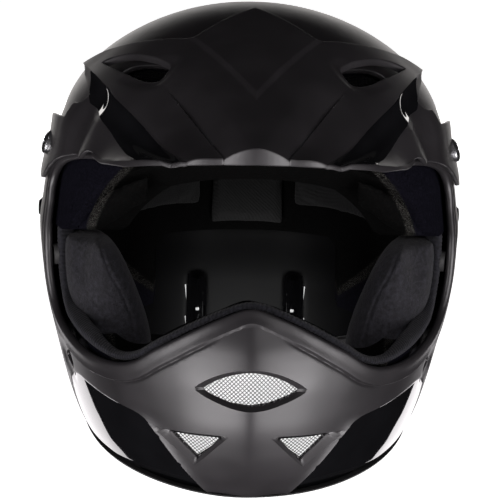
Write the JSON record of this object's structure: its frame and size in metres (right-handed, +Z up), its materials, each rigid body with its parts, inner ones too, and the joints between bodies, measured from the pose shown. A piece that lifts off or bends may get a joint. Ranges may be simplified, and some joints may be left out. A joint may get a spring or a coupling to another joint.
{
  "type": "full face cycling helmet",
  "caption": "Full face helmet with a chin bar, tilting visor on side screws, foam liner, removable padding, mesh vents and a ratchet chin strap.",
  "frame": {"origin": "on the rest plane under the middle of the helmet", "axes": "+Z up through the crown, the face opening looks along -Y, +X is the right side of a viewer in front"},
  "size_m": [0.253, 0.34, 0.2448],
  "materials": {
    "shell": "satin black moulded shell with gloss jaw panels",
    "visor": "satin black with gloss side panels",
    "trim": "matt rubber",
    "foam": "bead moulded foam",
    "lining": "brushed knit",
    "mesh": "bright woven mesh",
    "black_mesh": "black mesh",
    "screw": "polished",
    "insert": "plated",
    "spacer": "nylon",
    "rivet": "dark plated",
    "webbing": "woven webbing",
    "buckle": "moulded",
    "lever": "moulded",
    "snap": "moulded"
  },
  "bodies": {
    "helmet": {"outer_shell": "shell", "neck_edge_trim": "trim", "centre_vent_mesh": "mesh", "mouth_vent_mesh_right": "mesh", "mouth_vent_mesh_left": "mesh", "jaw_vent_mesh_right": "black_mesh", "jaw_vent_mesh_left": "black_mesh", "brow_vent_mesh_right": "black_mesh", "brow_vent_mesh_left": "black_mesh", "rear_vent_mesh_right": "mesh", "rear_vent_mesh_left": "mesh", "eps_liner": "foam", "chin_bar_foam": "foam", "port_edge_roll": "lining", "cheek_pad_right": "lining", "cheek_pad_left": "lining", "temple_pad_right": "lining", "temple_pad_left": "lining", "crown_pad": "lining", "brow_pad": "lining", "side_pad_right": "lining", "side_pad_left": "lining", "nape_pad_right": "lining", "nape_pad_left": "lining", "visor_insert_right": "insert", "visor_insert_left": "insert", "visor_spacer_right": "spacer", "visor_spacer_left": "spacer", "strap_rivets": "rivet", "strap_washers": "spacer", "cheek_pad_snaps": "snap"},
    "visor": {"visor": "visor"},
    "screw_right": {"visor_screw_right": "screw"},
    "screw_left": {"visor_screw_left": "screw"},
    "strap": {"strap_right": "webbing", "strap_left": "webbing", "chin_strap_pad": "lining", "strap_anchor_plates": "insert", "buckle_housing": "buckle", "buckle_pin": "insert", "buckle_tongue": "buckle", "tongue_clamp": "buckle"},
    "lever": {"buckle_lever": "lever"}
  },
  "joints": [
    {"name": "visor_tilt", "type": "hinge", "parent": "helmet", "child": "visor", "pos_m": [0, 0.00465, 0.1638], "axis": [-1, 0, 0], "range_deg": [-4, 9]},
    {"name": "screw_turn_right", "type": "hinge", "parent": "helmet", "child": "screw_right", "pos_m": [0.1148, 0.005, 0.163], "axis": [0.9475, -0.1301, 0.2921], "continuous": true},
    {"name": "screw_turn_left", "type": "hinge", "parent": "helmet", "child": "screw_left", "pos_m": [-0.1148, 0.005, 0.163], "axis": [-0.9475, -0.1301, 0.2921], "continuous": true},
    {"name": "strap_swing", "type": "hinge", "parent": "helmet", "child": "strap", "pos_m": [0, 0.035, 0.12], "axis": [1, 0, 0], "range_deg": [-12, 12]},
    {"name": "buckle_release", "type": "hinge", "parent": "strap", "child": "lever", "pos_m": [-0.062, 0.035, 0.0296], "axis": [0, 1, 0], "range_deg": [0, 35], "stiffness_Nm_per_rad": 0.02, "springref_deg": -8.59}
  ]
}
